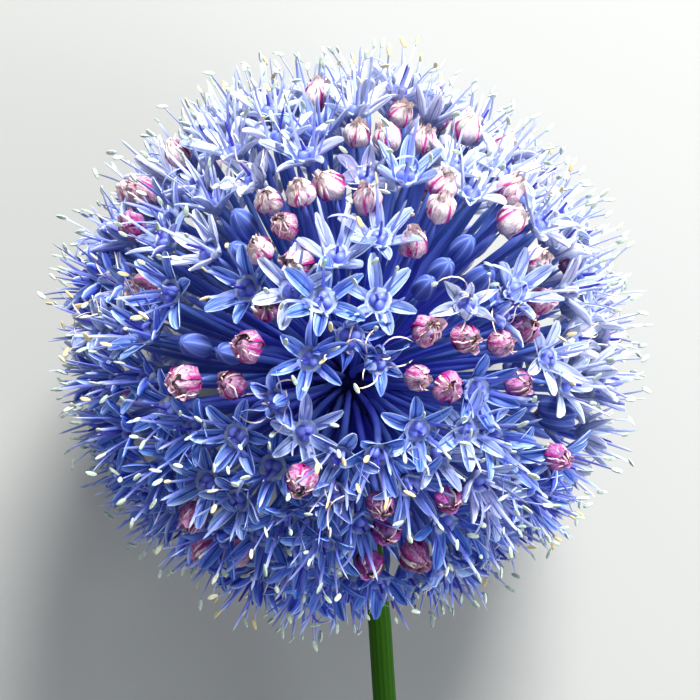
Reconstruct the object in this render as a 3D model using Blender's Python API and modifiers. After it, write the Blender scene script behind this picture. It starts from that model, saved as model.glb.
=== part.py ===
"""A blue allium flower head, cut with a short length of its stem and laid on its side.

The ball of florets rests on the tips of its lowest florets and the cut end of the stem
touches the surface, so the crown of the head points along +Y and a little up.
Metres, +Z up, origin at the middle of the underside of the whole flower.
"""

import math

import bmesh
import bpy
import numpy as np
from mathutils import Matrix, Vector

MM = 0.001

# The head: a ball of florets, whose pedicels all rise from a knob a little below its middle.
HEAD_RADIUS = 28 * MM
TEPAL_LEVEL = 24.5 * MM
FADED_LEVEL = 23.2 * MM
BUD_LEVEL = 22.2 * MM
CENTRE_HEIGHT = 26.5 * MM
RECEPTACLE_DROP = 3.6 * MM
RECEPTACLE_RADIUS = 3.6 * MM
STEM_RADIUS = 1.2 * MM
NECK_RADIUS = 1.1 * MM
AXIS_TILT = math.radians(19)
CLEARANCE = 0.3 * MM

# One floret, as simple closed solids: a three-sided pedicel under a star, a capsule or a bud.
PEDICEL_FOOT = 0.14 * MM
PEDICEL_TOP = 0.36 * MM
STAR_SPREAD = 2.7 * MM
STAR_NOTCH = 0.46
CUP_DEPTH = 2.0 * MM
CORE_RADIUS = 0.85 * MM
FADED_RADIUS = 1.5 * MM
FADED_LENGTH = 3.3 * MM
BUD_RADIUS = 1.25 * MM
BUD_LENGTH = 4.0 * MM
NEIGHBOUR_SHARE = 0.47

# A cluster's foot: a small plate on the knob that the pedicels of its florets share.
FOOT_THICKNESS = 0.6 * MM
FOOT_MARGIN = 0.18 * MM
FOOT_CROWDING = 0.46

# Where florets stand on the ball, in degrees: longitude from the middle of the upper
# side towards +X, and latitude from the waist towards the crown.
FADED = [
    (-20, 51), (-8, 50), (3, 53), (12, 47), (-18, 38), (-8, 38), (-13, 44), (-18, 27),
    (-20, 19), (-75, 47), (-95, 42), (-66, 38), (-56, 29), (-78, 57), (18, 65), (35, 63),
    (51, 60), (60, 70), (72, 55), (80, 48), (31, 41), (39, 48), (58, 40), (49, 34),
    (21, 36), (43, 13), (51, 16), (53, 24), (17, 18), (25, 16), (33, 12), (13, 10),
    (20, 6), (35, 3), (-35, 12), (-24, 11), (18, -18), (5, -27), (0, -34), (10, -35),
    (3, -17), (-12, -8), (45, -16), (-42, -20), (-50, -35), (-40, -37), (0, 84),
    (124, 52), (136, 48), (152, 20), (160, 25), (182, 60), (200, 10), (214, 36), (222, 30),
    (244, -2), (250, -10), (140, -22), (176, -8), (104, 8), (108, -32), (205, -36), (232, 12),
]
BUDS = [
    (37, 34), (29, 31), (36, 26), (22, 28), (-28, 18), (-37, 19), (-29, 47), (-28, 40),
    (59, -13), (68, -20), (130, 4), (138, 9), (204, 46), (254, -22), (248, -28),
]
LEADING_STARS = [
    (0, 37), (13, 40), (9, 27), (-4, 28), (-8, 17), (-15, 9), (-12, 1), (-4, -4), (4, -4),
    (-20, -8), (-6, -12), (-26, 1), (-19, -19), (-10, -25), (-36, 40), (-24, 33),
]
CLEARINGS = [(4, 6), (-4, 8), (38, -4), (46, -5), (-32, 26)]
FREE_STARS = 284
STEM_GAP_LATITUDE = math.radians(-66)
SPREADING_STEPS = 120
LEAST_GAP = math.radians(6.6)
CLUSTERS = 50
CLUSTERING_STEPS = 20
SEED = 7

UP = Vector((0, math.cos(AXIS_TILT), math.sin(AXIS_TILT)))
FACE = Vector((0, -math.sin(AXIS_TILT), math.cos(AXIS_TILT)))
SIDE = Vector((1, 0, 0))
CENTRE = Vector((0, 0, CENTRE_HEIGHT))
RECEPTACLE = CENTRE - RECEPTACLE_DROP * UP
# The cut end's lowest edge lies on the surface.
STEM_REACH = (CENTRE_HEIGHT - STEM_RADIUS * math.cos(AXIS_TILT)) / math.sin(AXIS_TILT)
STEM_LENGTH = STEM_REACH - RECEPTACLE_DROP
FRONT_EDGE = -STEM_REACH * math.cos(AXIS_TILT) - STEM_RADIUS * math.sin(AXIS_TILT)
MIDDLE = Vector((0, (FRONT_EDGE + HEAD_RADIUS) / 2, 0))


def clear_scene():
    for thing in list(bpy.data.objects):
        bpy.data.objects.remove(thing, do_unlink=True)


def new_collection(name):
    collection = bpy.data.collections.new(name)
    bpy.context.scene.collection.children.link(collection)
    return collection


def new_material(name, colour, roughness):
    material = bpy.data.materials.new(name)
    material.use_nodes = True
    shader = material.node_tree.nodes["Principled BSDF"]
    shader.inputs["Base Color"].default_value = (*colour, 1)
    shader.inputs["Roughness"].default_value = roughness
    shader.inputs["Metallic"].default_value = 0
    return material


def new_object(name, bm, collection, material, parent):
    mesh = bpy.data.meshes.new(name)
    bm.to_mesh(mesh)
    bm.free()
    mesh.materials.append(material)
    thing = bpy.data.objects.new(name, mesh)
    thing.parent = parent
    collection.objects.link(thing)
    return thing


def on_ball(place):
    """The unit direction of a longitude and latitude, in the head's own axes."""
    longitude, latitude = (math.radians(angle) for angle in place)
    return (
        math.cos(latitude) * math.sin(longitude),
        math.sin(latitude),
        math.cos(latitude) * math.cos(longitude),
    )


def even_ball(count):
    """A Fibonacci lattice: evenly spread directions on the ball, clear of the stem."""
    lowest = math.sin(STEM_GAP_LATITUDE)
    golden = math.pi * (3 - math.sqrt(5))
    up = 1 - (np.arange(count) + 0.5) * (1 - lowest) / count
    turn = golden * np.arange(count)
    wide = np.sqrt(1 - up**2)
    return np.stack([wide * np.sin(turn), up, wide * np.cos(turn)], axis=1)


def spread_out(held, free):
    """Push the free directions apart, and off the held ones, until they are even."""
    lowest = math.sin(STEM_GAP_LATITUDE)
    spacing = math.sqrt(4 * math.pi / (len(held) + len(free)))
    for _ in range(SPREADING_STEPS):
        everything = np.concatenate([held, free])
        away = free[:, None, :] - everything[None, :, :]
        distance = np.linalg.norm(away, axis=2)
        near = (distance > 0) & (distance < 2 * spacing)
        push = np.where(near, (spacing / np.maximum(distance, 1e-6)) ** 4, 0)
        step = (away * push[:, :, None]).sum(axis=1)
        length = np.linalg.norm(step, axis=1, keepdims=True)
        step *= np.minimum(0.02 * length, 0.25 * spacing) / np.maximum(length, 1e-9)
        free = free + step
        free[:, 1] = np.maximum(free[:, 1], lowest)
        free /= np.linalg.norm(free, axis=1, keepdims=True)
    return free


def place_florets():
    """Every floret's kind and direction from the middle of the head."""
    named = [("faded", FADED), ("bud", BUDS), ("open", LEADING_STARS)]
    kinds = [kind for kind, places in named for _ in places]
    held = np.array([on_ball(place) for _, places in named for place in places])
    clearings = np.array([on_ball(place) for place in CLEARINGS])
    blocked = np.concatenate([held, clearings])
    free = spread_out(blocked, even_ball(FREE_STARS))
    gap = np.linalg.norm(free[:, None] - blocked[None], axis=2).min(axis=1)
    free = free[gap > LEAST_GAP]
    return kinds + ["open"] * len(free), np.concatenate([held, free])


def sort_into_clusters(lines):
    """Number each floret's cluster: the nearest of some evenly spread middles."""
    middles = even_ball(CLUSTERS) @ np.array([SIDE, UP, FACE])
    for _ in range(CLUSTERING_STEPS):
        nearest = (lines @ middles.T).argmax(axis=1)
        sums = np.array([lines[nearest == number].sum(axis=0) for number in range(CLUSTERS)])
        middles = sums / np.linalg.norm(sums, axis=1, keepdims=True)
    return nearest


class Floret:
    """Where one floret stands: its pedicel's line, its length and the room around it."""

    def __init__(self, kind, direction, room, draw):
        level = {"open": TEPAL_LEVEL, "faded": FADED_LEVEL, "bud": BUD_LEVEL}[kind]
        level += draw.uniform(-0.7, 0.5) * MM
        across, up, out = (float(value) for value in direction)
        head = CENTRE + level * (across * SIDE + up * UP + out * FACE)
        self.kind = kind
        self.line = (head - RECEPTACLE).normalized()
        self.length = (head - RECEPTACLE).length
        self.room = room * level
        self.roll = draw.uniform(0, math.tau)
        tip = CENTRE + HEAD_RADIUS * (across * SIDE + up * UP + out * FACE)
        self.tip = (tip - RECEPTACLE).length

    def place(self, foot):
        """Put the pedicel's lower end inside its cluster's foot, and return its matrix."""
        head = RECEPTACLE + self.length * self.line
        beside = self.line / self.line.dot(foot) - foot
        height = RECEPTACLE_RADIUS + CLEARANCE + FOOT_THICKNESS / 2
        start = RECEPTACLE + height * (foot + FOOT_CROWDING * beside)
        along = (head - start).normalized()
        self.start = self.length - (head - start).length
        origin = head - self.length * along
        if along.z < 0:
            self.tip = min(self.tip, origin.z / -along.z)
        turn = along.to_track_quat("Z", "Y").to_matrix().to_4x4()
        return Matrix.Translation(origin) @ turn @ Matrix.Rotation(self.roll, 4, "Z")


def add_ring(bm, count, radius, height):
    place = Matrix.Translation((0, 0, height))
    return bmesh.ops.create_circle(bm, segments=count, radius=radius, matrix=place)["verts"]


def edges_of(bm, ring):
    corners = set(ring)
    return [edge for edge in bm.edges if edge.verts[0] in corners and edge.verts[1] in corners]


def add_lofted(bm, rings, matrix):
    """One closed solid through a run of rings, flat at its foot and pointed at its tip."""
    loops = [edges_of(bm, ring) for ring in rings]
    for lower, upper in zip(loops, loops[1:]):
        bmesh.ops.bridge_loops(bm, edges=lower + upper)
    bm.faces.new(rings[0])
    corners = [corner for ring in rings[:-1] for corner in ring]
    height = rings[-1][0].co.z
    bmesh.ops.pointmerge(bm, verts=rings[-1], merge_co=(0, 0, height))
    tip = [corner for corner in rings[-1] if corner.is_valid]
    bmesh.ops.transform(bm, matrix=matrix, verts=corners + tip)


def add_star(bm, floret, matrix):
    """Pedicel, six spread tepals and the slim core of stamens and style."""
    spread = min(STAR_SPREAD, NEIGHBOUR_SHARE * floret.room)
    rings = [
        add_ring(bm, 3, PEDICEL_FOOT, floret.start),
        add_ring(bm, 3, PEDICEL_TOP, floret.length - CUP_DEPTH),
        add_ring(bm, 12, spread, floret.length),
        add_ring(bm, 3, CORE_RADIUS, floret.length - 0.2 * CUP_DEPTH),
        add_ring(bm, 3, CORE_RADIUS, floret.tip),
    ]
    for corner in rings[2][1::2]:
        corner.co.x *= STAR_NOTCH
        corner.co.y *= STAR_NOTCH
        corner.co.z -= 0.25 * CUP_DEPTH
    add_lofted(bm, rings, matrix)


def add_spindle(bm, floret, matrix, radius, length):
    """Pedicel and a rounded body: a withered floret on its capsule, or a closed bud."""
    radius = min(radius, NEIGHBOUR_SHARE * floret.room)
    base = floret.length - length / 2
    rings = [
        add_ring(bm, 3, PEDICEL_FOOT, floret.start),
        add_ring(bm, 3, PEDICEL_TOP, base),
        add_ring(bm, 6, 0.9 * radius, base + 0.28 * length),
        add_ring(bm, 6, 0.85 * radius, base + 0.66 * length),
        add_ring(bm, 3, radius, base + length),
    ]
    add_lofted(bm, rings, matrix)


def build_cluster(name, florets, kit, material):
    """A cluster of florets, made one body by the foot that their pedicels share."""
    foot = sum((floret.line for floret in florets), Vector()).normalized()
    widest = 0
    bm = bmesh.new()
    for floret in florets:
        matrix = floret.place(foot)
        start = matrix @ Vector((0, 0, floret.start)) - RECEPTACLE
        widest = max(widest, (start - start.dot(foot) * foot).length)
        if floret.kind == "open":
            add_star(bm, floret, matrix)
        elif floret.kind == "faded":
            add_spindle(bm, floret, matrix, FADED_RADIUS, FADED_LENGTH)
        else:
            add_spindle(bm, floret, matrix, BUD_RADIUS, BUD_LENGTH)
    bmesh.ops.recalc_face_normals(bm, faces=bm.faces)
    cluster = new_object(name, bm, kit["parts"], material, kit["base"])
    middle = RECEPTACLE + (RECEPTACLE_RADIUS + CLEARANCE + FOOT_THICKNESS / 2) * foot
    bm = bmesh.new()
    bmesh.ops.create_cone(
        bm,
        cap_ends=True,
        segments=7,
        radius1=widest + FOOT_MARGIN,
        radius2=widest + FOOT_MARGIN,
        depth=FOOT_THICKNESS,
        matrix=Matrix.Translation(middle) @ foot.to_track_quat("Z", "Y").to_matrix().to_4x4(),
    )
    plate = new_object(f"{name}_foot", bm, kit["cutters"], material, kit["base"])
    plate.hide_render = True
    plate.display_type = "WIRE"
    union = cluster.modifiers.new("foot", "BOOLEAN")
    union.operation = "UNION"
    union.object = plate
    union.use_self = True


def build_florets(kit, material):
    draw = np.random.default_rng(SEED)
    kinds, places = place_florets()
    distance = np.linalg.norm(places[:, None] - places[None], axis=2)
    np.fill_diagonal(distance, 9)
    room = distance.min(axis=1)
    florets = [Floret(*row, draw) for row in zip(kinds, places, room)]
    numbers = sort_into_clusters(np.array([floret.line for floret in florets]))
    for number in range(CLUSTERS):
        members = [floret for floret, home in zip(florets, numbers) if home == number]
        build_cluster(f"floret_cluster_{number + 1:02d}", members, kit, material)


def build_scape(kit, material):
    """The cut stem and the knob it swells into, turned about its own axis."""
    knob = [
        (RECEPTACLE_RADIUS * math.sin(angle), RECEPTACLE_RADIUS * math.cos(angle))
        for angle in (math.radians(step) for step in range(0, 161, 20))
    ]
    profile = knob + [
        (NECK_RADIUS, -1.35 * RECEPTACLE_RADIUS),
        (STEM_RADIUS, -0.4 * STEM_LENGTH),
        (STEM_RADIUS, -STEM_LENGTH),
        (0, -STEM_LENGTH),
    ]
    bm = bmesh.new()
    corners = [bm.verts.new((radius, 0, height)) for radius, height in profile]
    for upper, lower in zip(corners, corners[1:]):
        bm.edges.new((upper, lower))
    scape = new_object("stem", bm, kit["parts"], material, kit["base"])
    scape.location = RECEPTACLE
    scape.rotation_euler = UP.to_track_quat("Z", "X").to_euler()
    turned = scape.modifiers.new("turned", "SCREW")
    turned.axis = "Z"
    turned.angle = math.tau
    turned.steps = turned.render_steps = 16
    turned.use_merge_vertices = True
    turned.merge_threshold = 0.00001


def build_bract(kit, material, number):
    """One of the two papery bracts that wrapped the young head, now lying back on the stem."""
    length = 6.5 * MM
    half_angle = math.radians(62)
    inside = NECK_RADIUS + 1.2 * CLEARANCE
    start = -RECEPTACLE_RADIUS - 1.0 * MM
    bm = bmesh.new()
    bmesh.ops.create_grid(bm, x_segments=6, y_segments=6, size=1)
    for corner in bm.verts:
        down = (corner.co.y + 1) / 2
        width = half_angle * (1 - down**2.2) ** 0.8 + math.radians(2)
        turn = corner.co.x * width
        radius = inside + 0.25 * MM * math.sin(math.pi * down)
        height = start - length * down
        corner.co = (radius * math.cos(turn), radius * math.sin(turn), height)
    bmesh.ops.recalc_face_normals(bm, faces=bm.faces)
    bract = new_object(f"spathe_bract_{number}", bm, kit["parts"], material, kit["base"])
    bract.location = RECEPTACLE
    about = Matrix.Rotation(math.pi * (number - 1) + math.radians(25), 4, "Z")
    turn = UP.to_track_quat("Z", "X").to_matrix().to_4x4() @ about
    bract.rotation_euler = turn.to_euler()
    sheet = bract.modifiers.new("sheet", "SOLIDIFY")
    sheet.thickness = 0.22 * MM
    sheet.offset = 0


def main():
    clear_scene()
    kit = {"parts": new_collection("allium_flower_head"), "cutters": new_collection("cutters")}
    kit["base"] = bpy.data.objects.new("resting_place", None)
    kit["base"].location = -MIDDLE
    kit["parts"].objects.link(kit["base"])
    green = new_material("stem_green", (0.06, 0.14, 0.03), 0.5)
    papery = new_material("bract_papery", (0.62, 0.54, 0.38), 0.75)
    blue = new_material("tepal_blue", (0.20, 0.26, 0.66), 0.55)
    build_scape(kit, green)
    for number in (1, 2):
        build_bract(kit, papery, number)
    build_florets(kit, blue)


main()
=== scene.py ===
import math

import bmesh
import bpy
import numpy as np
from mathutils import Matrix, Vector, noise


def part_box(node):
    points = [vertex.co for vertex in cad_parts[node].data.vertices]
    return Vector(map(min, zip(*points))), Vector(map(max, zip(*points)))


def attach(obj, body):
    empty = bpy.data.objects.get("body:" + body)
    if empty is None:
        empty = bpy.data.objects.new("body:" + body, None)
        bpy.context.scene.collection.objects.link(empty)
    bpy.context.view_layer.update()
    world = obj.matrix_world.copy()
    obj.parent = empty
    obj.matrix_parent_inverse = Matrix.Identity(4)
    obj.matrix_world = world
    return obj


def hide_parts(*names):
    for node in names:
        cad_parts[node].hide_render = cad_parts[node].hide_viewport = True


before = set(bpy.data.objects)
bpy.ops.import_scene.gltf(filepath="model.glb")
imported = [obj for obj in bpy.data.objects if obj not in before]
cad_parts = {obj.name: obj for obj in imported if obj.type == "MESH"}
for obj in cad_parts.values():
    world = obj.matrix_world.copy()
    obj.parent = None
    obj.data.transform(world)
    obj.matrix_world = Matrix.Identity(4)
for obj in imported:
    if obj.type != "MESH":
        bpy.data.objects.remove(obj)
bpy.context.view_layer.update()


# Where the florets stand.
# Every floret grows on its own pedicel from one knob at the top of the stem. The solids
# hold their places: each has a ring where the pedicel ends, and a point at its tip.

MM = 0.001
SAME_POINT = 0.002 * MM
CUT_ZONE = 1 * MM
KNOB_REGION = 9 * MM
STAR_CORNERS = 17
BUD_LENGTH = 3.65 * MM
STANDS_OUT = {"open": (-0.8, 0.3), "bud": (-0.8, 0.3), "withered": (0.6, 2.2)}
draw = np.random.default_rng(21)

stem_low, stem_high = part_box("stem")
knob_radius = (stem_high[0] - stem_low[0]) / 2
knob = Vector((0, stem_high[1] - knob_radius, stem_high[2] - knob_radius))
stem_points = [corner.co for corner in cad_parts["stem"].data.vertices]
end_points = [point for point in stem_points if point.y < stem_low[1] + CUT_ZONE]
stem_end = sum(end_points, Vector()) / len(end_points)
crown_line = (knob - stem_end).normalized()


def islands(bm):
    """The groups of joined corners in a mesh."""
    left = set(bm.verts)
    for corner in bm.verts:
        if corner in left:
            group, waiting = [], [corner]
            left.discard(corner)
            while waiting:
                here = waiting.pop()
                group.append(here)
                for edge in here.link_edges:
                    there = edge.other_vert(here)
                    if there in left:
                        left.discard(there)
                        waiting.append(there)
            yield group


def floret_kind(points, seat):
    """A star has many corners, and a bud is longer than a withered floret."""
    if len(points) >= STAR_CORNERS:
        return "open"
    return "bud" if (points[-1] - seat).length > BUD_LENGTH else "withered"


def read_florets(node):
    """Each floret of a cluster: its kind, and the matrix that seats a floret drawn in mm."""
    bm = bmesh.new()
    bm.from_mesh(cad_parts[node].data)
    bmesh.ops.remove_doubles(bm, verts=bm.verts, dist=SAME_POINT)
    near = [corner for corner in bm.verts if (corner.co - knob).length < KNOB_REGION]
    bmesh.ops.delete(bm, geom=near, context="VERTS")
    florets = []
    for group in islands(bm):
        points = sorted((corner.co.copy() for corner in group), key=lambda p: (p - knob).length)
        seat = sum(points[:3], Vector()) / 3
        axis = (points[-1] - seat).normalized()
        kind = floret_kind(points, seat)
        beside = [point - seat - (point - seat).dot(axis) * axis for point in points]
        first = max(beside, key=lambda arm: arm.length)
        across = axis.cross(first).normalized()
        turn = Matrix((across.cross(axis), across, axis)).transposed().to_4x4()
        seat += axis * draw.uniform(*STANDS_OUT[kind]) * MM
        florets.append((kind, Matrix.Translation(seat) @ turn @ Matrix.Scale(MM, 4)))
    bm.free()
    return florets


clusters = {
    node: read_florets(node) for node in sorted(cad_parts) if node.startswith("floret_cluster")
}


# The petal finish.
# A tepal is a thin, translucent leaf of lavender blue with a dark stripe down its middle,
# fine veins beside it, and a paler foot and edges. Some florets are paled and others deepened: partly
# a random difference of colour, partly painted light at the crown and right of the head and painted
# shade low and to its left.


def new_finish(name, roughness, specular=0.4):
    """A material with its shader, and short ways to add and join nodes."""
    material = bpy.data.materials.new(name)
    material.use_nodes = True
    tree = material.node_tree
    shader = tree.nodes["Principled BSDF"]
    shader.inputs["Roughness"].default_value = roughness
    shader.inputs["Specular IOR Level"].default_value = specular

    def node(kind, values=(), **settings):
        made = tree.nodes.new(kind)
        for key, value in settings.items():
            setattr(made, key, value)
        for socket, value in values:
            if isinstance(value, bpy.types.NodeSocket):
                tree.links.new(value, made.inputs[socket])
            else:
                made.inputs[socket].default_value = value
        return made

    def link(source, socket):
        tree.links.new(source, shader.inputs[socket])

    return material, shader, node, link


def maths(node, operation, first, second=0.0):
    return node("ShaderNodeMath", [(0, first), (1, second)], operation=operation).outputs[0]


def ramp(node, factor, stops):
    """A colour ramp through (position, colour) stops."""
    made = node("ShaderNodeValToRGB", [("Fac", factor)])
    points = made.color_ramp.elements
    while len(points) < len(stops):
        points.new(0.5)
    for point, (position, colour) in zip(points, stops):
        point.position = position
        point.color = (*colour, 1)
    return made.outputs["Color"]


def mask(node, factor, stops):
    """How much of a colour is laid on, through (position, strength) stops."""
    return ramp(node, factor, [(position, (strength,) * 3) for position, strength in stops])


def blend(node, factor, first, second, mode="MIX"):
    made = node("ShaderNodeMix", data_type="RGBA", blend_type=mode)
    for socket, value in (("Factor", factor), ("A", first), ("B", second)):
        named = [entry for entry in made.inputs if entry.name == socket and entry.enabled]
        if isinstance(value, bpy.types.NodeSocket):
            made.id_data.links.new(value, named[0])
        else:
            named[0].default_value = value if socket == "Factor" else (*value, 1)
    return [entry for entry in made.outputs if entry.enabled][0]


def flower_uv(node):
    """The across and along places on a petal or stalk, each from 0 to 1."""
    place = node("ShaderNodeUVMap", uv_map="UVMap").outputs["UV"]
    parts = node("ShaderNodeSeparateXYZ", [("Vector", place)])
    return place, parts.outputs["X"], parts.outputs["Y"]


def from_midrib(node, across):
    """0 on a petal's midrib and 1 at either edge."""
    return maths(node, "MULTIPLY", maths(node, "ABSOLUTE", maths(node, "SUBTRACT", across, 0.5)), 2)


def veins(node, place, fineness):
    """Fine streaks that run the length of a petal."""
    stretched = node("ShaderNodeMapping", [("Vector", place), ("Scale", (fineness, 1.6, 1))])
    streaks = node("ShaderNodeTexNoise", [("Vector", stretched.outputs[0]), ("Scale", 1.0)])
    return streaks.outputs["Fac"]


def mottle(node, patches_per_metre, detail):
    """Cloudy patches in the piece's own space."""
    where = node("ShaderNodeTexCoord").outputs["Object"]
    values = [("Vector", where), ("Scale", patches_per_metre), ("Detail", detail)]
    return node("ShaderNodeTexNoise", values).outputs["Fac"]


def floret_tone_and_painted_light(node):
    """Each floret's value, 0 for the palest and 1 for the deepest: a random difference of colour, and
    on open and withered florets painted light and shade by place on the head as well.
    """
    return node("ShaderNodeAttribute", attribute_name="tone_and_painted_light").outputs["Fac"]


def emboss(node, link, height, strength, depth):
    bump = node("ShaderNodeBump", [("Height", height), ("Strength", strength), ("Distance", depth)])
    link(bump.outputs["Normal"], "Normal")


def let_light_in(shader, weight, reach, depth):
    """Reach says how far red, green and blue light each go, as shares of the depth."""
    shader.inputs["Subsurface Weight"].default_value = weight
    shader.inputs["Subsurface Radius"].default_value = reach
    shader.inputs["Subsurface Scale"].default_value = depth


def tepal_finish(name, stops, foot_colour, deep_colour):
    """Stops run from the midrib to the edge; deep_colour darkens the deepest florets, whose depth is
    partly painted shade.
    """
    material, shader, node, link = new_finish(name, 0.42)
    place, across, along = flower_uv(node)
    side = from_midrib(node, across)
    body = ramp(node, side, stops)
    streak = ramp(node, veins(node, place, 11), [
        (0.36, (0.26, 0.34, 0.62)), (0.48, (0.9, 0.95, 1)), (0.60, (2.0, 1.75, 1.2)),
    ])
    body = blend(node, 0.85, body, streak, "MULTIPLY")
    foot = mask(node, along, [(0.10, 0.9), (0.34, 0), (0.90, 0), (1, 0.4)])
    footed = blend(node, foot, body, foot_colour)
    tone_and_painted_light = floret_tone_and_painted_light(node)
    # Deepened florets low and to the left of the head and paled ones at its crown and right are
    # painted shade and painted light, mixed with a random difference of colour.
    deeper = blend(node, 1.0, footed, deep_colour, "MULTIPLY")
    paling_and_painted_light = mask(node, tone_and_painted_light, [(0.0, 0.95), (0.42, 0)])
    paling_and_painted_light = maths(node, "MULTIPLY", paling_and_painted_light, mask(node, side, [(0.0, 0.3), (0.16, 1)]))
    patchy = mask(node, veins(node, place, 9), [(0.40, 0.35), (0.58, 1)])
    paling_and_painted_light = maths(node, "MULTIPLY", paling_and_painted_light, patchy)
    aged = blend(node, paling_and_painted_light, blend(node, tone_and_painted_light, footed, deeper), (0.78, 0.83, 0.92))
    violet = mask(node, mottle(node, 170.0, 1.0), [(0.50, 0), (0.68, 0.4)])
    tinged = blend(node, 1.0, aged, (0.90, 0.60, 0.95), "MULTIPLY")
    link(blend(node, violet, aged, tinged), "Base Color")
    emboss(node, link, veins(node, place, 11), 0.6, 0.08 * MM)
    let_light_in(shader, 0.2, (0.5, 0.6, 1.0), 0.5 * MM)
    return material


tepal_inside = tepal_finish("tepal_inside", [
    (0.00, (0.010, 0.030, 0.26)), (0.08, (0.030, 0.085, 0.42)), (0.20, (0.20, 0.33, 0.74)),
    (0.70, (0.26, 0.40, 0.80)), (0.90, (0.42, 0.56, 0.86)), (1.00, (0.62, 0.74, 0.90)),
], (0.40, 0.52, 0.78), (0.26, 0.45, 0.90))
tepal_outside = tepal_finish("tepal_outside", [
    (0.00, (0.012, 0.022, 0.22)), (0.14, (0.030, 0.055, 0.40)), (0.32, (0.09, 0.14, 0.60)),
    (0.80, (0.15, 0.22, 0.70)), (0.92, (0.36, 0.46, 0.86)), (1.00, (0.62, 0.70, 0.92)),
], (0.26, 0.34, 0.68), (0.40, 0.52, 0.92))


# The stamens and the pistil.
# Six filaments start broad on a shallow, pale cup, narrow to blue threads and carry
# cream anthers. The ovary is a satin ball of three lobes with a dark style.


def cup_finish():
    material, shader, node, link = new_finish("cup_white", 0.5)
    grain = mottle(node, 1800.0, 3.0)
    link(ramp(node, grain, [(0.3, (0.22, 0.30, 0.58)), (0.7, (0.42, 0.50, 0.66))]), "Base Color")
    let_light_in(shader, 0.2, (0.6, 0.7, 1.0), 0.6 * MM)
    return material


def filament_finish():
    material, _, node, link = new_finish("filament_lavender", 0.45)
    _, _, along = flower_uv(node)
    length = ramp(node, along, [
        (0.0, (0.30, 0.38, 0.64)), (0.16, (0.15, 0.19, 0.66)),
        (0.60, (0.15, 0.19, 0.70)), (0.97, (0.46, 0.54, 0.80)),
    ])
    # Paler filaments at the crown and right of the head are painted light, mixed with a random
    # difference of colour.
    coloured = mask(node, floret_tone_and_painted_light(node), [(0.0, 0.35), (0.45, 1)])
    link(blend(node, coloured, (0.56, 0.62, 0.84), length), "Base Color")
    return material


def from_crest(node, across, lobes):
    """0 along the crest of each of several lobes and 0.5 where two of them meet."""
    lobe = maths(node, "FRACT", maths(node, "MULTIPLY", across, lobes))
    return maths(node, "ABSOLUTE", maths(node, "SUBTRACT", lobe, 0.5))


def ovary_finish():
    material, _, node, link = new_finish("ovary_violet", 0.42, 0.3)
    _, across, _ = flower_uv(node)
    skin = ramp(node, from_crest(node, across, 3), [
        (0.0, (0.20, 0.25, 0.74)), (0.28, (0.11, 0.14, 0.60)),
        (0.44, (0.03, 0.035, 0.34)), (0.5, (0.012, 0.014, 0.20)),
    ])
    paler = maths(node, "MULTIPLY", mottle(node, 1500.0, 2.0), 0.5)
    link(blend(node, paler, skin, (0.22, 0.28, 0.74)), "Base Color")
    return material


def style_finish():
    material, _, node, link = new_finish("style_dark_violet", 0.35)
    _, _, along = flower_uv(node)
    link(ramp(node, along, [
        (0.0, (0.05, 0.05, 0.42)), (0.86, (0.03, 0.02, 0.30)), (0.97, (0.7, 0.7, 0.9)),
    ]), "Base Color")
    return material


def anther_finish():
    material, _, node, link = new_finish("anther_cream", 0.75, 0.2)
    grain = mottle(node, 2600.0, 4.0)
    powder = ramp(node, grain, [
        (0.3, (0.34, 0.44, 0.34)), (0.55, (0.56, 0.65, 0.55)), (0.75, (0.70, 0.77, 0.64)),
    ])
    old = mask(node, floret_tone_and_painted_light(node), [(0.86, 0), (0.92, 1)])
    link(blend(node, old, powder, (0.74, 0.60, 0.30)), "Base Color")
    emboss(node, link, grain, 0.6, 0.05 * MM)
    return material


def dried_finish():
    material, _, node, link = new_finish("filament_dried", 0.6, 0.3)
    _, _, along = flower_uv(node)
    link(ramp(node, along, [
        (0.0, (0.36, 0.20, 0.56)), (0.30, (0.66, 0.50, 0.66)),
        (0.7, (0.86, 0.80, 0.72)), (1.0, (0.62, 0.42, 0.20)),
    ]), "Base Color")
    return material


filament_dried = dried_finish()
FLORET_MATERIALS = [
    tepal_inside, tepal_outside, cup_finish(), filament_finish(), ovary_finish(), style_finish(),
    filament_dried,
]
INSIDE, OUTSIDE, CUP, FILAMENT, OVARY, STYLE, DRIED = range(7)


# One open floret, drawn in mm with its seat at the origin and its axis up.
# Fourteen are drawn, from just open to laid flat, and four more that are wilting, with
# shrunken tepals and dried filaments. Each place on the ball takes one of them.

OPEN_KINDS = 14
WILTING_OPENNESS = (0.2, 0.5, 0.7, 0.9)
WILT = 0.9
TEPAL_COLUMNS, TEPAL_ROWS = 4, 8
TEPAL_THICKNESS = 0.07
TEPAL_LENGTHS = (3.55, 4.05)
TEPAL_HALF_WIDTHS = (0.52, 0.67)
CUP_OUTLINE = [
    (0, -0.1), (0.40, 0.0), (0.86, 0.42), (1.22, 0.98),
    (1.10, 1.06), (0.92, 1.00), (0.6, 0.9), (0, 0.8),
]
FILAMENT_LENGTHS = (3.2, 4.9)
FILAMENT_STEPS = 6
STRAY_SHARE = 0.08
ANTHER_SHARE = 0.56


def new_drawing():
    bm = bmesh.new()
    bm.loops.layers.uv.new("UVMap")
    return bm


def finished_drawing(bm, name):
    mesh = bpy.data.meshes.new(name)
    bm.to_mesh(mesh)
    bm.free()
    return mesh


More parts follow.
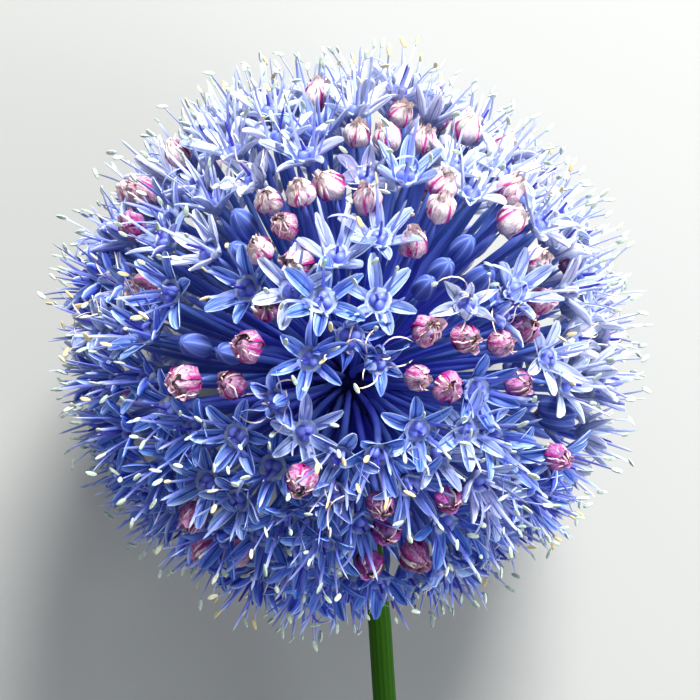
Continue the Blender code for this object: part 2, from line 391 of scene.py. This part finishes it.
def add_form(bm, sides, rings, place, finish):
    """A closed form: a ball's net, each corner put where place(turn, along) says."""
    net = bmesh.ops.create_uvsphere(bm, u_segments=sides, v_segments=rings, radius=1, calc_uvs=True)
    made = net["verts"]
    for corner in made:
        along = math.acos(max(-1.0, min(1.0, -corner.co.z))) / math.pi
        turn = math.atan2(corner.co.y, corner.co.x)
        corner.co = place(turn, along)
    for face in {face for corner in made for face in corner.link_faces}:
        face.material_index = finish
        face.smooth = True
    return made


def curve_out(start, length, lift, spread, steps):
    """Points and headings of a midrib that leaves at one slope and bends to another."""
    points, headings = [Vector(start)], []
    for step in range(steps + 1):
        slope = lift + (spread - lift) * step / steps
        headings.append(Vector((math.cos(slope), 0, math.sin(slope))))
        points.append(points[-1] + headings[-1] * length / steps)
    return points[:-1], headings


def add_blade(bm, ribs, width, dish, thickness, finishes, twist=0.0, ruffle=0.0, seed=0.0):
    """A tepal: a grid laid along its midrib, dished across it, then given its thickness."""
    points, headings = ribs
    rows = len(points) - 1
    grid = bmesh.ops.create_grid(bm, x_segments=TEPAL_COLUMNS, y_segments=rows, size=1, calc_uvs=True)
    made = grid["verts"]
    for corner in made:
        across, along = corner.co.x, (corner.co.y + 1) / 2
        step = round(along * rows)
        centre, heading = points[step], headings[step]
        inward = Vector((-heading.z, 0, heading.x))
        half = width(along)
        roll = twist * along * along
        sideways = Vector((0, math.cos(roll), 0)) + inward * math.sin(roll)
        lift = dish * half * (across * across - 0.3) - 0.10 * half * math.exp(-(across / 0.3) ** 2)
        wave = ruffle * noise.noise(Vector((across * 1.5, along * 4 + seed, seed)))
        corner.co = centre + sideways * across * half + inward * (lift + wave)
    faces = list(dict.fromkeys(face for corner in made for face in corner.link_faces))
    shell = bmesh.ops.solidify(bm, geom=faces, thickness=thickness)["geom"]
    under = [part for part in shell if isinstance(part, bmesh.types.BMFace)]
    for finish, side in zip(finishes, (faces, under)):
        for face in side:
            face.material_index = finish
            face.smooth = True
    return list({corner for face in faces + under for corner in face.verts})


def turn_all(bm, corners, azimuth):
    bmesh.ops.rotate(bm, verts=corners, cent=(0, 0, 0), matrix=Matrix.Rotation(azimuth, 3, "Z"))


def spoon(half_width, foot=0.58, tip=0.30):
    """A tepal's half width along its length: a narrower foot, a full middle, a rounded tip."""

    def width(along):
        opening = foot + (1 - foot) * math.sin(math.pi / 2 * min(1.0, along / 0.55))
        closing = max(0.0, (along - 0.50) / 0.50) ** 2.2
        return half_width * opening * math.sqrt(1 - (1 - tip * tip) * closing)

    return width


def add_tepals(bm, openness, wilt):
    """Three outer and three inner tepals; wilt shortens, curls and twists them."""
    for number in range(6):
        azimuth = math.tau * number / 6 + draw.normal(0, 0.06)
        inner = number % 2
        start = (0.30 + 0.05 * inner, 0, 0.08 + 0.07 * inner)
        lift = math.radians(draw.uniform(38, 48) + 4 * inner)
        spread = math.radians(draw.uniform(62, 76) - 66 * openness + draw.normal(0, 7))
        spread += wilt * draw.normal(0.3, 0.7)
        length = draw.uniform(*TEPAL_LENGTHS) * (1 - 0.15 * wilt)
        ribs = curve_out(start, length, lift, spread, TEPAL_ROWS)
        half_width = draw.uniform(*TEPAL_HALF_WIDTHS)
        dish = draw.uniform(0.40, 0.95) + 0.5 * wilt
        blade = add_blade(
            bm, ribs, spoon(half_width), dish, TEPAL_THICKNESS, (INSIDE, OUTSIDE),
            twist=draw.normal(0, 0.3 + wilt), ruffle=0.07 + 0.3 * wilt, seed=draw.uniform(0, 50),
        )
        turn_all(bm, blade, azimuth)


def cup_place(turn, along):
    """The fused feet of the filaments: a thin-lipped cup round the ovary."""
    at = along * (len(CUP_OUTLINE) - 1)
    step = min(len(CUP_OUTLINE) - 2, int(at))
    low, high = Vector(CUP_OUTLINE[step]), Vector(CUP_OUTLINE[step + 1])
    radius, height = low.lerp(high, at - step)
    height += 0.08 * math.cos(6 * turn) * (radius > 0.9)
    return Vector((radius * math.cos(turn), radius * math.sin(turn), height))


def stalk_place(points, radii, flat=1.0):
    """For add_form: a stalk through points, with its own half width at each."""
    last = len(points) - 1

    def place(turn, along):
        step = min(last - 1, int(along * last))
        share = along * last - step
        centre = points[step].lerp(points[step + 1], share)
        heading = (points[step + 1] - points[step]).normalized()
        across = Vector((0, 1, 0)) if abs(heading.y) < 0.9 else Vector((1, 0, 0))
        across = (across - heading * across.dot(heading)).normalized()
        other = heading.cross(across)
        radius = radii(along) * min(1.0, math.sin(math.pi * along) * 5)
        return centre + (across * math.cos(turn) + other * flat * math.sin(turn)) * radius

    return place


def filament_width(along):
    """Broad at the cup, a thread from a quarter of its length on."""
    return 0.115 + 0.05 * (1 - along) + 0.20 * math.exp(-((along / 0.13) ** 1.5))


def dried_width(along):
    return 0.5 * filament_width(along)


def add_anther(bm, tip, azimuth):
    """Two pollen sacs side by side, hung by their middle on the filament's tip."""
    length, wide = draw.uniform(0.44, 0.62), draw.uniform(0.17, 0.24)

    def place(turn, along):
        lean = math.pi * along
        side = math.sin(lean) * math.cos(turn) * wide
        sacs = 0.75 + 0.25 * abs(math.cos(turn)) ** 0.5
        thick = math.sin(lean) * math.sin(turn) * wide * 0.8 * sacs
        return Vector((side, thick, -math.cos(lean) * length))

    corners = add_form(bm, 6, 6, place, 0)
    nod = Matrix.Rotation(draw.normal(0, 0.45), 3, "X")
    tilt = nod @ Matrix.Rotation(draw.normal(0.3, 0.5), 3, "Y")
    bmesh.ops.rotate(bm, verts=corners, cent=(0, 0, 0), matrix=tilt)
    bmesh.ops.translate(bm, verts=corners, vec=tip)
    turn_all(bm, corners, azimuth)


def add_stamens(bm, anthers, openness, wilt):
    """Six filaments, a few of them bent astray, and an anther on about half of them."""
    for number in range(6):
        azimuth = math.tau * number / 6 + draw.normal(0, 0.10)
        reach = draw.uniform(*FILAMENT_LENGTHS) * (1 - 0.35 * wilt)
        lift = math.radians(draw.uniform(66, 88) - 8 * openness)
        spread = math.radians(draw.uniform(54, 92) - 14 * openness)
        if draw.random() < STRAY_SHARE + wilt:
            spread += draw.uniform(-2.4, 2.4)
        points, _ = curve_out((1.02, 0, 0.92), reach, lift, spread, FILAMENT_STEPS)
        drift = wilt * draw.normal(0, 1.0)
        shares = [step / FILAMENT_STEPS for step in range(len(points))]
        turns = [Matrix.Rotation(drift * share ** 2, 3, "Z") for share in shares]
        points = [turn @ point for turn, point in zip(turns, points)]
        width, finish = (dried_width, DRIED) if wilt else (filament_width, FILAMENT)
        thread = add_form(bm, 5, 8, stalk_place(points, width, flat=0.5), finish)
        turn_all(bm, thread, azimuth)
        if draw.random() < ANTHER_SHARE - 0.3 * wilt:
            add_anther(anthers, points[-1], azimuth)


def ovary_place(turn, along, swell):
    """Three lobes with a groove between each two, and a dimple for the style."""
    lean = math.pi * along
    lobe = abs(math.cos(1.5 * turn)) ** 0.7
    radius = 0.85 * swell * math.sin(lean) ** 0.85 * (0.68 + 0.32 * lobe)
    height = 0.92 - 0.78 * math.cos(lean) * (0.84 + 0.16 * lobe)
    height -= 0.26 * max(0.0, -math.cos(lean)) ** 8
    return Vector((radius * math.cos(turn), radius * math.sin(turn), height))


def add_pistil(bm):
    """The ovary, and a style that leans a little as it leaves the dimple."""
    swell = draw.uniform(0.90, 1.02)
    add_form(bm, 18, 9, lambda turn, along: ovary_place(turn, along, swell), OVARY)
    lean = Vector((draw.normal(0, 0.12), draw.normal(0, 0.12), 1))
    style = [Vector((0, 0, 1.2)) + lean * step for step in (0, draw.uniform(1.0, 2.8))]
    add_form(bm, 5, 6, stalk_place(style, lambda along: 0.18 - 0.10 * along), STYLE)


def draw_open_floret(openness, wilt=0.0):
    """The drawings of one open floret and of its anthers."""
    bm, anthers = new_drawing(), new_drawing()
    add_tepals(bm, openness, wilt)
    add_form(bm, 12, 8, cup_place, CUP)
    add_stamens(bm, anthers, openness, wilt)
    add_pistil(bm)
    bmesh.ops.recalc_face_normals(bm, faces=bm.faces)
    bmesh.ops.recalc_face_normals(anthers, faces=anthers.faces)
    return finished_drawing(bm, "open_floret"), finished_drawing(anthers, "anthers")


open_drawings = [draw_open_floret(number / (OPEN_KINDS - 1)) for number in range(OPEN_KINDS)]
wilting_drawings = [draw_open_floret(openness, WILT) for openness in WILTING_OPENNESS]


# Setting the drawings on the ball.
# A piece is all that one cluster holds of one kind. Where the ball rests, tips that would
# pass through the surface are pressed flat against it.

PRESSED_BELOW = 1.2 * MM
SHARP_EDGE = math.radians(62)
HEAD_RADIUS = 28 * MM
SPENT_LINE = Vector((0.12, 0.07, 0.99)).normalized()
SPENT_PATCH = math.radians(10)
WILTING_SHARE = 0.14


def pressed(height):
    """Smoothly keeps a height above the surface."""
    if height >= PRESSED_BELOW:
        return height
    return PRESSED_BELOW * math.exp((height - PRESSED_BELOW) / PRESSED_BELOW)


def set_piece(name, placed, materials, node):
    """One piece of many drawings, each with its matrix and its paleness value, which on open and
    withered florets holds painted light and shade as well.
    """
    bm = bmesh.new()
    tones = []
    for drawing, matrix, tone_and_painted_light in placed:
        start = len(bm.verts)
        bm.from_mesh(drawing)
        bm.verts.ensure_lookup_table()
        corners = bm.verts[start:]
        bmesh.ops.transform(bm, matrix=matrix, verts=corners)
        tones += [tone_and_painted_light] * len(corners)
    for corner in bm.verts:
        corner.co.z = pressed(corner.co.z)
    mesh = finished_drawing(bm, name)
    mesh.attributes.new("tone_and_painted_light", "FLOAT", "POINT").data.foreach_set("value", tones)
    mesh.set_sharp_from_angle(angle=SHARP_EDGE)
    for material in materials:
        mesh.materials.append(material)
    piece = bpy.data.objects.new(name, mesh)
    bpy.context.scene.collection.objects.link(piece)
    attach(piece, "root")
    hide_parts(node)


def within_one(value):
    return min(1.0, max(0.0, value))


def open_tone_and_painted_light(side):
    """Palest at the crown and to the right of the head, deepest low and to the left: painted light
    and shade by place, over a random part.
    """
    low = (side.y + 0.25 * side.x + 0.85 * min(0, side.x)) / HEAD_RADIUS
    return within_one(0.14 + 0.75 * float(draw.beta(1.5, 1.6)) + 0.60 * low)


def pick_open(matrix, side):
    """Those that look up are laid flatter; some, and all in one small patch, are wilting."""
    upward = matrix.col[2].z / MM
    pick = int(OPEN_KINDS * min(0.99, max(0.0, draw.uniform(0.0, 0.75) + 0.35 * upward)))
    spent = side.angle(-SPENT_LINE) < SPENT_PATCH
    if draw.random() < WILTING_SHARE or spent:
        return wilting_drawings[draw.integers(len(wilting_drawings))]
    return open_drawings[pick]


anther_material = anther_finish()
for node, florets in clusters.items():
    number = node[-2:]
    blooms, pollen = [], []
    for kind, matrix in florets:
        if kind == "open":
            side = knob - matrix.translation
            tone_and_painted_light = open_tone_and_painted_light(side)
            flower, anthers = pick_open(matrix, side)
            size = Matrix.Scale(draw.uniform(0.97, 1.11), 4)
            nod = Matrix.Rotation(draw.normal(0, 0.17), 4, "X")
            turn = nod @ Matrix.Rotation(draw.normal(0, 0.17), 4, "Y")
            blooms.append((flower, matrix @ turn @ size, tone_and_painted_light))
            pollen.append((anthers, matrix @ turn @ size, float(draw.random())))
    if blooms:
        set_piece(f"open_florets_{number}", blooms, FLORET_MATERIALS, node)
        set_piece(f"anthers_{number}", pollen, [anther_material], node)


# The pedicels.
# Each floret's own stalk, a smooth blue-violet thread that swells a little under its cup.
# All of them grow out of the knob side by side, and bow slightly on the way.

PEDICEL_RADIUS = 0.34
PEDICEL_BOWS = (0.15, 0.35, 0.55, 0.8)
INTO_CUP = 0.12
INTO_KNOB = 0.3 * MM


def pedicel_finish():
    material, _, node, link = new_finish("pedicel_violet", 0.45, 0.25)
    place, _, along = flower_uv(node)
    # The bright foot by the knob, deep in the head's shade, and the darker middle where light reaches
    # are painted light.
    length = ramp(node, along, [
        (0.0, (0.13, 0.13, 0.92)), (0.35, (0.085, 0.12, 0.82)),
        (0.7, (0.036, 0.09, 0.46)), (1.0, (0.13, 0.21, 0.62)),
    ])
    stripe = maths(node, "MULTIPLY", veins(node, place, 9), 0.45)
    tinted = blend(node, stripe, length, (0.13, 0.10, 0.58))
    greener = maths(node, "MULTIPLY", floret_tone_and_painted_light(node), 0.6)
    link(blend(node, greener, tinted, (0.075, 0.17, 0.42)), "Base Color")
    return material


def draw_pedicel(bow):
    """A stalk in mm across and one long, with its foot at the origin."""
    bm = new_drawing()

    def place(turn, along):
        radius = PEDICEL_RADIUS * (0.84 + 0.16 * along + 0.25 * max(0.0, along - 0.92) / 0.08)
        radius *= min(1.0, math.sin(math.pi * along) * 12)
        side = bow * math.sin(math.pi * along)
        return Vector((radius * math.cos(turn) + side, radius * math.sin(turn), along))

    add_form(bm, 7, 9, place, 0)
    bmesh.ops.recalc_face_normals(bm, faces=bm.faces)
    return finished_drawing(bm, "pedicel")


pedicel_material = pedicel_finish()
pedicel_drawings = [draw_pedicel(bow) for bow in PEDICEL_BOWS]
for node, florets in clusters.items():
    stalks = []
    for _, matrix in florets:
        seat = matrix.translation + matrix.to_3x3() @ Vector((0, 0, INTO_CUP))
        foot = knob + (seat - knob).normalized() * (knob_radius - INTO_KNOB)
        turn = (seat - foot).to_track_quat("Z", "Y").to_matrix().to_4x4()
        spin = Matrix.Rotation(draw.uniform(0, math.tau), 4, "Z")
        stretch = Matrix.Diagonal((MM, MM, (seat - foot).length, 1))
        drawing = pedicel_drawings[draw.integers(len(pedicel_drawings))]
        placed = Matrix.Translation(foot) @ turn @ spin @ stretch
        stalks.append((drawing, placed, float(draw.random())))
    set_piece(f"pedicels_{node[-2:]}", stalks, [pedicel_material], node)


# The withered florets.
# After flowering, three wide and three narrow tepals turn papery and wrap the swelling
# capsule: cream and rose, creased, with magenta edges. Dried filaments cling over them.

WITHERED_KINDS = 10
PAPER_THICKNESS = 0.06


def withered_finish():
    material, shader, node, link = new_finish("faded_papery", 0.55, 0.3)
    place, across, along = flower_uv(node)
    skin = ramp(node, mottle(node, 1500.0, 5.0), [
        (0.36, (0.32, 0.10, 0.21)), (0.45, (0.48, 0.25, 0.34)),
        (0.53, (0.64, 0.50, 0.54)), (0.62, (0.50, 0.10, 0.25)),
    ])
    tone_and_painted_light = floret_tone_and_painted_light(node)
    # Whiter at the crown of the head: painted light, mixed with a random difference of colour.
    whiter = mask(node, tone_and_painted_light, [(0.0, 0.72), (0.22, 0)])
    skin = blend(node, whiter, skin, (0.90, 0.84, 0.88))
    creased = node("ShaderNodeMapping", [("Vector", place), ("Scale", (6.5, 3.2, 1))]).outputs[0]
    creases = [("Vector", creased), ("Scale", 1.0), ("Detail", 2.0), ("Distortion", 0.9)]
    folds = node("ShaderNodeTexNoise", creases).outputs["Fac"]
    dark_lines = mask(node, folds, [(0.40, 0), (0.44, 0.6), (0.48, 0)])
    skin = blend(node, dark_lines, skin, (0.40, 0.02, 0.20))
    # Pale cream lines by the dark creases are painted highlights.
    painted_highlight_lines = mask(node, folds, [(0.53, 0), (0.56, 0.6), (0.60, 0)])
    skin = blend(node, painted_highlight_lines, skin, (0.90, 0.84, 0.80))
    rim = mask(node, from_midrib(node, across), [(0.0, 0), (0.66, 0.12), (0.84, 1)])
    skin = blend(node, rim, skin, (0.45, 0.015, 0.22))
    foot = mask(node, along, [(0.0, 0.8), (0.40, 0)])
    skin = blend(node, foot, skin, (0.40, 0.10, 0.18))
    tip = mask(node, along, [(0.80, 0), (0.93, 0.7)])
    aged = blend(node, tip, skin, (0.76, 0.66, 0.62))
    # Deeper and rosier low on the head: painted shade, mixed with a random difference of colour.
    rosier_and_painted_shade = blend(node, 1.0, aged, (0.56, 0.15, 0.70), "MULTIPLY")
    link(blend(node, tone_and_painted_light, aged, rosier_and_painted_shade), "Base Color")
    emboss(node, link, folds, 0.9, 0.16 * MM)
    let_light_in(shader, 0.15, (1.0, 0.6, 0.8), 0.5 * MM)
    return material


def capsule_finish():
    material, _, node, link = new_finish("capsule_lilac", 0.4, 0.4)
    skin = ramp(node, mottle(node, 650.0, 4.0), [
        (0.36, (0.28, 0.28, 0.48)), (0.48, (0.48, 0.48, 0.58)),
        (0.58, (0.58, 0.60, 0.50)), (0.70, (0.50, 0.26, 0.42)),
    ])
    # Darker capsules low on the head: painted shade, mixed with a random difference of colour.
    darker = blend(node, 1.0, skin, (0.55, 0.30, 0.80), "MULTIPLY")
    link(blend(node, floret_tone_and_painted_light(node), skin, darker), "Base Color")
    return material


def fold_over(width, height, reach, crumple):
    """The midrib of a withered tepal: round the capsule from its foot, then up to a tip."""
    points = []
    for step in range(TEPAL_ROWS + 3):
        along = step / (TEPAL_ROWS + 2)
        lean = math.pi * min(1.0, 0.03 + along * 1.12) * reach
        points.append(Vector((width * math.sin(lean), 0, height * (1 - math.cos(lean)) / 2)))
    for step, lift in ((-2, 0.15), (-1, 0.55)):
        points[step] += Vector((crumple * lift, 0, lift))
    headings = [(after - before).normalized() for before, after in zip(points, points[1:])]
    return points, headings + headings[-1:]


def cling_over(width, height):
    """A dried filament: up the side of the capsule with a sideways drift, its end free."""
    drift, curl, points = draw.uniform(-0.9, 0.9), draw.uniform(-0.7, 0.9), []
    for step in range(8):
        lean = math.pi * (0.36 + 0.075 * step)
        azimuth = drift * (step / 7) ** 1.5 + draw.normal(0, 0.05)
        free = max(0, step - 5)
        out = (width + 0.14) * math.sin(lean) + free * 0.4 * curl
        level = (height + 0.12) * (1 - math.cos(lean)) / 2 + free * 0.12
        points.append(Vector((out * math.cos(azimuth), out * math.sin(azimuth), level)))
    return points


def wrapping(half_width):
    """A papery tepal's half width: it follows the swell of the capsule under it."""
    return lambda along: half_width * (0.12 + 0.88 * math.sin(math.pi * (0.12 + 0.82 * along)) ** 0.9)


def draw_withered_floret():
    bm = new_drawing()
    height, wide = draw.uniform(2.2, 2.7), draw.uniform(0.98, 1.16)

    def capsule(turn, along):
        lean = math.pi * along
        lobe = abs(math.cos(1.5 * turn)) ** 0.7
        radius = (wide - 0.10) * math.sin(lean) ** 0.85 * (0.84 + 0.16 * lobe)
        dimple = 0.2 * max(0.0, -math.cos(lean)) ** 8
        level = 0.1 + (height - 0.22) * (1 - math.cos(lean)) / 2 - dimple
        return Vector((radius * math.cos(turn), radius * math.sin(turn), level))

    add_form(bm, 15, 9, capsule, 1)
    for number in range(6):
        azimuth = math.tau * number / 6 + draw.normal(0, 0.16)
        outer = number % 2
        half = draw.uniform(0.84, 1.10) if outer else draw.uniform(0.55, 0.78)
        stands_off = 0.09 * outer + draw.uniform(-0.03, 0.07)
        ribs = fold_over(wide + stands_off, height, draw.uniform(0.70, 0.97), draw.uniform(-0.8, 0.8))
        blade = add_blade(
            bm, ribs, wrapping(half), draw.uniform(0.40, 0.52) * half, PAPER_THICKNESS, (0, 0),
            twist=draw.normal(0, 0.35), ruffle=0.28, seed=draw.uniform(0, 50),
        )
        turn_all(bm, blade, azimuth)
    for _ in range(int(draw.integers(5, 8))):
        points = cling_over(wide, height)
        thread = add_form(bm, 4, 10, stalk_place(points, lambda along: 0.12 - 0.05 * along), 2)
        turn_all(bm, thread, draw.uniform(0, math.tau))
    bmesh.ops.recalc_face_normals(bm, faces=bm.faces)
    return finished_drawing(bm, "withered_floret")


def withered_tone_and_painted_light(seat):
    """Palest at the crown of the head and rosiest at its foot, with some chance: painted light at the
    crown and painted shade at the foot, over a random part.
    """
    shaded = 0.43 - 0.78 * (seat.y - knob.y) / HEAD_RADIUS + draw.normal(0, 0.2)
    return within_one(float(shaded))


withered_materials = [withered_finish(), capsule_finish(), filament_dried]
withered_drawings = [draw_withered_floret() for _ in range(WITHERED_KINDS)]
for node, florets in clusters.items():
    balls = []
    for kind, matrix in florets:
        if kind == "withered":
            nod = Matrix.Rotation(draw.normal(0, 0.3), 4, "X")
            turn = nod @ Matrix.Rotation(draw.uniform(0, math.tau), 4, "Z")
            size = Matrix.Scale(draw.uniform(0.88, 1.08), 4)
            drawing = withered_drawings[draw.integers(WITHERED_KINDS)]
            balls.append((drawing, matrix @ turn @ size, withered_tone_and_painted_light(matrix.translation)))
    if balls:
        set_piece(f"withered_florets_{node[-2:]}", balls, withered_materials, node)


# The buds.
# Six tepals still folded into an ovoid: deep blue along their ribs, paler where one edge
# overlaps the next, and drawn together to a blunt point.

BUD_LENGTHS_AND_HALF_WIDTHS = ((3.8, 1.2), (3.5, 1.1), (4.1, 1.2))


def bud_finish():
    material, _, node, link = new_finish("bud_blue", 0.6, 0.2)
    place, across, along = flower_uv(node)
    skin = ramp(node, from_crest(node, across, 6), [
        (0.0, (0.010, 0.018, 0.16)), (0.12, (0.035, 0.060, 0.34)),
        (0.38, (0.070, 0.115, 0.46)), (0.5, (0.28, 0.36, 0.70)),
    ])
    foot = mask(node, along, [(0.0, 1), (0.25, 0)])
    skin = blend(node, foot, skin, (0.03, 0.05, 0.28))
    streak = maths(node, "MULTIPLY", veins(node, place, 26), 0.7)
    link(blend(node, streak, skin, (0.13, 0.20, 0.54)), "Base Color")
    emboss(node, link, veins(node, place, 40), 0.4, 0.05 * MM)
    return material


def draw_bud(length, wide):
    bm = new_drawing()

    def place(turn, along):
        lean = math.pi * along
        fold = abs(math.cos(3 * turn))
        shape = math.sin(lean) ** 0.85 * (1 - 0.20 * along)
        radius = wide * shape * (0.93 + 0.07 * fold**0.5)
        level = length * (1 - math.cos(lean)) / 2
        return Vector((radius * math.cos(turn), radius * math.sin(turn), level))

    add_form(bm, 24, 14, place, 0)
    bmesh.ops.recalc_face_normals(bm, faces=bm.faces)
    return finished_drawing(bm, "bud")


bud_material = bud_finish()
bud_drawings = [draw_bud(length, wide) for length, wide in BUD_LENGTHS_AND_HALF_WIDTHS]
for node, florets in clusters.items():
    buds = []
    for kind, matrix in florets:
        if kind == "bud":
            turn = Matrix.Rotation(draw.uniform(0, math.tau), 4, "Z")
            drawing = bud_drawings[draw.integers(len(bud_drawings))]
            buds.append((drawing, matrix @ turn, float(draw.random())))
    if buds:
        set_piece(f"buds_{node[-2:]}", buds, [bud_material], node)


# The stem.
# A round, solid flower stalk of smooth mid-green with fine ribs and a slight bow. It was
# cut square across, and at its head it swells into the knob that carries the pedicels.

STEM_RADIUS = 1.2 * MM
STEM_BOW = 0.85 * MM
BOW_SHARE = 0.66
RIBS = 14
RIB_DEPTH = 0.014
CUT_ENDS = 0.03
KNOB_STARTS = 0.8


def stem_finish():
    material, _, node, link = new_finish("stem_green", 0.6, 0.08)
    place, across, along = flower_uv(node)
    crest = from_crest(node, across, RIBS)
    skin = ramp(node, crest, [(0.0, (0.034, 0.130, 0.004)), (0.5, (0.008, 0.056, 0.002))])
    blotch = maths(node, "MULTIPLY", mottle(node, 350.0, 5.0), 0.6)
    skin = blend(node, blotch, skin, (0.045, 0.145, 0.006))
    streak = veins(node, place, 60)
    skin = blend(node, maths(node, "MULTIPLY", streak, 0.45), skin, (0.020, 0.095, 0.004))
    # The knob is painted a dark blue, the colour of the shade among the pedicels' feet: painted
    # shade.
    head = mask(node, along, [(0.79, 0), (0.83, 1)])
    link(blend(node, head, skin, (0.015, 0.02, 0.12)), "Base Color")
    emboss(node, link, streak, 0.5, 0.08 * MM)
    return material


def cut_finish():
    material, _, node, link = new_finish("stem_cut", 0.55, 0.4)
    where = node("ShaderNodeTexCoord").outputs["Object"]
    cells = node("ShaderNodeTexVoronoi", [("Vector", where), ("Scale", 5200.0)]).outputs["Distance"]
    link(ramp(node, cells, [(0.1, (0.34, 0.44, 0.16)), (0.6, (0.58, 0.66, 0.34))]), "Base Color")
    return material


def build_stem():
    length = (knob - stem_end).length
    bm = new_drawing()
    turn = crown_line.to_track_quat("Z", "X").to_matrix().to_4x4()

    def place(angle, along):
        """The net's first rings are the flat cut, and its last fifth is the knob."""
        if along < CUT_ENDS:
            height, radius = 0, STEM_RADIUS * 0.97 * (along > 0)
        elif along < KNOB_STARTS:
            share = (along - 0.04) / 0.76
            height = 0.05 * MM + (length - knob_radius * 0.9) * max(0.0, share)
            radius = STEM_RADIUS * (1 - 0.08 * share) * (1 + RIB_DEPTH * math.cos(RIBS * angle))
        else:
            lean = math.radians(154) * (1 - (along - KNOB_STARTS) / 0.2)
            height = length - knob_radius * math.cos(math.pi - lean)
            radius = max(knob_radius * math.sin(lean), STEM_RADIUS * 0.9 * (lean > 1.7))
        bow = STEM_BOW * math.sin(math.pi * min(1.0, height / (length * BOW_SHARE)))
        return Vector((radius * math.cos(angle), radius * math.sin(angle) - bow, height))

    add_form(bm, 56, 50, place, 0)
    bmesh.ops.transform(bm, matrix=Matrix.Translation(stem_end) @ turn, verts=bm.verts)
    bmesh.ops.recalc_face_normals(bm, faces=bm.faces)
    for face in bm.faces:
        at_end = (face.calc_center_median() - stem_end).length < 2 * MM
        if at_end and abs(face.normal.dot(crown_line)) > 0.95:
            face.material_index = 1
    scape = [(finished_drawing(bm, "scape_drawing"), Matrix.Identity(4), 0.5)]
    set_piece("scape", scape, [stem_finish(), cut_finish()], "stem")


build_stem()


# The spathe bracts.
# Two dry, papery scales that once wrapped the whole umbel and now lie back on the stem.
# Each keeps its solid's mesh and gets the streaks of a dry skin.


def bract_finish():
    material, _, node, link = new_finish("bract_papery", 0.7, 0.3)
    where = node("ShaderNodeTexCoord").outputs["Object"]
    grain = node("ShaderNodeMapping", [("Vector", where), ("Scale", (2600, 350, 2600))]).outputs[0]
    values = [("Vector", grain), ("Scale", 1.0), ("Detail", 4.0)]
    streaks = node("ShaderNodeTexNoise", values).outputs["Fac"]
    link(ramp(node, streaks, [
        (0.35, (0.42, 0.28, 0.12)), (0.6, (0.74, 0.60, 0.36)), (0.75, (0.86, 0.76, 0.54)),
    ]), "Base Color")
    emboss(node, link, streaks, 0.6, 0.06 * MM)
    return material


bract_material = bract_finish()
for node in ("spathe_bract_1", "spathe_bract_2"):
    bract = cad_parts[node]
    bract.data.materials.clear()
    bract.data.materials.append(bract_material)


# The setting: a plain pale floor, soft studio light and the camera.
# The camera looks straight down on the head as it lies, so it sees the ball from the side
# with its crown leaning towards it and the stem leaving at the bottom.

HEAD_CENTRE = knob + crown_line * 3.6 * MM
FLOOR_DROP = 0.02 * MM
CAMERA_PLACE = (0.3 * MM, -0.7 * MM, 200 * MM)
CAMERA_ROLL = math.radians(-7)


def build_floor():
    bm = bmesh.new()
    bmesh.ops.create_grid(bm, x_segments=1, y_segments=1, size=1.5)
    mesh = finished_drawing(bm, "floor")
    floor = bpy.data.objects.new("floor", mesh)
    floor.location.z = -FLOOR_DROP
    bpy.context.scene.collection.objects.link(floor)
    material, shader, _, _ = new_finish("floor_pale", 0.8, 0.2)
    shader.inputs["Base Color"].default_value = (0.40, 0.405, 0.39, 1)
    mesh.materials.append(material)


def add_light(name, place, size, power, colour):
    lamp = bpy.data.lights.new(name, "AREA")
    lamp.size = size
    lamp.energy = power
    lamp.color = colour
    holder = bpy.data.objects.new(name, lamp)
    holder.location = HEAD_CENTRE + Vector(place)
    holder.rotation_euler = (-Vector(place)).to_track_quat("-Z", "Y").to_euler()
    bpy.context.scene.collection.objects.link(holder)


def add_sky():
    world = bpy.data.worlds.new("studio")
    world.use_nodes = True
    sky = world.node_tree.nodes["Background"].inputs
    sky["Color"].default_value = (0.86, 0.92, 1.0, 1)
    sky["Strength"].default_value = 0.40
    bpy.context.scene.world = world


def add_camera():
    lens = bpy.data.cameras.new("camera")
    lens.sensor_width = 36
    lens.lens = 110
    lens.clip_start = 0.01
    camera = bpy.data.objects.new("camera", lens)
    camera.location = HEAD_CENTRE + Vector(CAMERA_PLACE)
    camera.rotation_euler = (0, 0, CAMERA_ROLL)
    bpy.context.scene.collection.objects.link(camera)
    bpy.context.scene.camera = camera
    bpy.context.scene.view_settings.view_transform = "Standard"


build_floor()
add_light("key", (0.20, 0.44, 0.36), 0.20, 9.5, (1.0, 0.99, 0.97))
add_light("fill", (0.44, -0.20, 0.30), 0.34, 2.0, (0.94, 0.97, 1.0))
add_sky()
add_camera()
